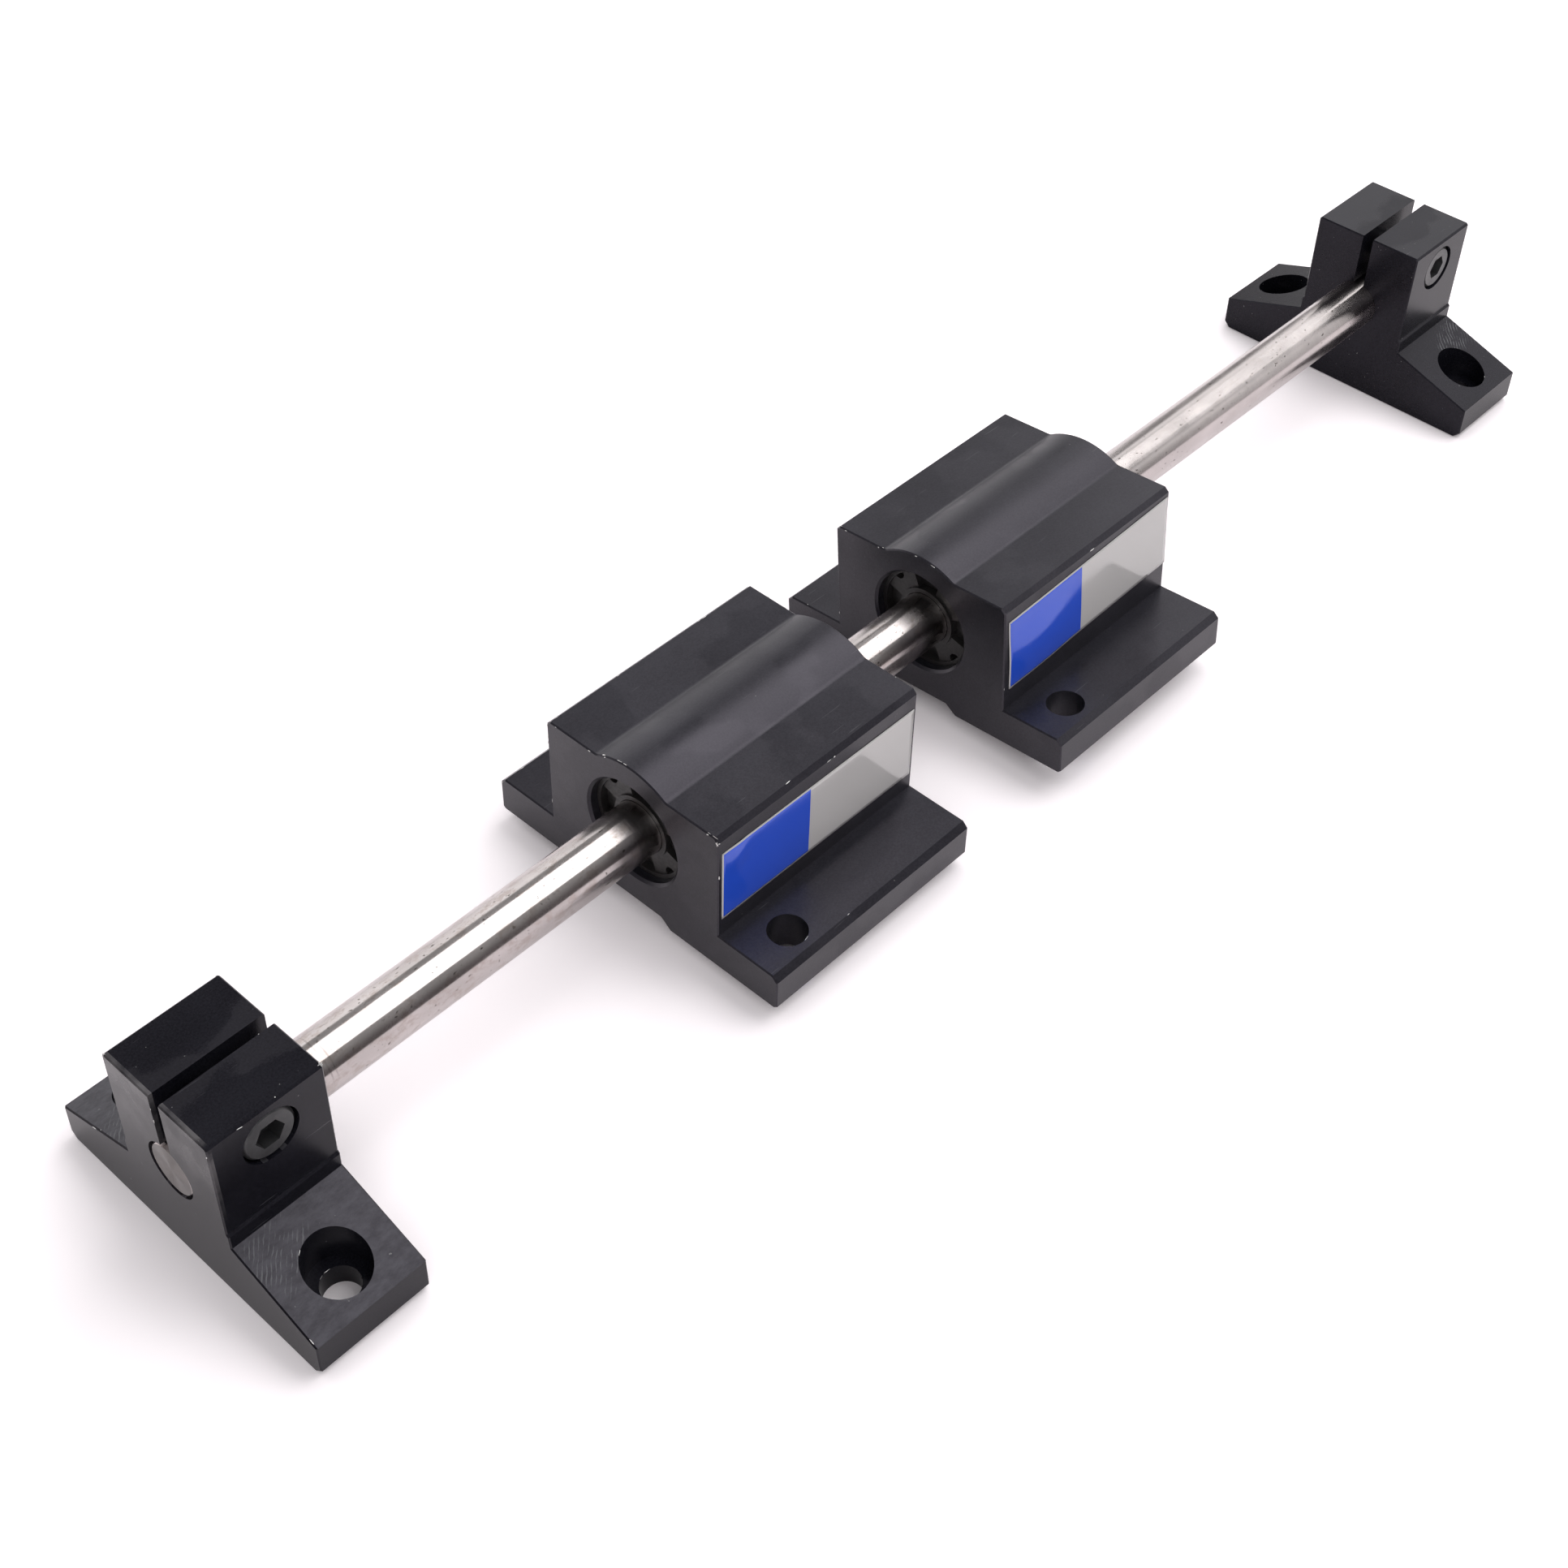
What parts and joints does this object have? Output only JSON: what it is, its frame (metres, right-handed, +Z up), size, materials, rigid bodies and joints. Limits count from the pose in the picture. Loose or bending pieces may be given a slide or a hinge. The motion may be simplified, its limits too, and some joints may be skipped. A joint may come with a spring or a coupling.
{
  "type": "linear guide",
  "caption": "Single-shaft linear guide: a round steel shaft clamped in split end supports, carrying flanged ball-bushing pillow blocks that slide along it and swivel about it.",
  "frame": {"origin": "on the mounting plane, midway between the four bolt holes of the end supports, under the middle of the shaft", "axes": "+X along the shaft from the near support to the far one, +Z up from the mounting plane, -Y the side of the clamp screws' heads"},
  "size_m": [0.206, 0.042, 0.0229],
  "materials": {
    "block_anodised": "black anodised, satin, with a fine machined grain and bright chips on some edges",
    "support_anodised": "black anodised, satin, with a fine machined grain and bright chips on some edges",
    "shaft_steel": "hardened and ground, near mirror bright, with fine rings and small pits",
    "screw_steel": "black oxide",
    "cage_plastic": "moulded black",
    "bearing_steel": "hardened and ground",
    "ring_steel": "oil-black spring steel",
    "seal_rubber": "moulded, matt",
    "label_film": "thin printed film, blue at one end and silver grey at the other, no words",
    "bare_aluminium": "bright metal where the anodising is chipped off the edges"
  },
  "bodies": {
    "rail": {"shaft": "shaft_steel", "near_end_support": "support_anodised", "far_end_support": "support_anodised", "near_clamp_screw": "screw_steel", "far_clamp_screw": "screw_steel"},
    "near_bearing": {"near_bushing_cage": "cage_plastic", "near_bearing_plates": "bearing_steel", "near_bearing_balls": "bearing_steel"},
    "near_block": {"near_block_housing": "block_anodised", "near_retaining_ring_front": "ring_steel", "near_retaining_ring_back": "ring_steel", "near_wiper_seal_front": "seal_rubber", "near_wiper_seal_back": "seal_rubber"},
    "far_bearing": {"far_bushing_cage": "cage_plastic", "far_bearing_plates": "bearing_steel", "far_bearing_balls": "bearing_steel"},
    "far_block": {"far_block_housing": "block_anodised", "far_retaining_ring_front": "ring_steel", "far_retaining_ring_back": "ring_steel", "far_wiper_seal_front": "seal_rubber", "far_wiper_seal_back": "seal_rubber"}
  },
  "joints": [
    {"name": "near_slide", "type": "slide", "parent": "rail", "child": "near_bearing", "axis": [1, 0, 0], "range_m": [-0.0446, 0.0075]},
    {"name": "near_swivel", "type": "hinge", "parent": "near_bearing", "child": "near_block", "pos_m": [-0.03025, 0, 0.0127], "axis": [1, 0, 0], "continuous": true},
    {"name": "far_slide", "type": "slide", "parent": "rail", "child": "far_bearing", "axis": [1, 0, 0], "range_m": [-0.0075, 0.0596]},
    {"name": "far_swivel", "type": "hinge", "parent": "far_bearing", "child": "far_block", "pos_m": [0.01525, 0, 0.0127], "axis": [1, 0, 0], "continuous": true}
  ]
}
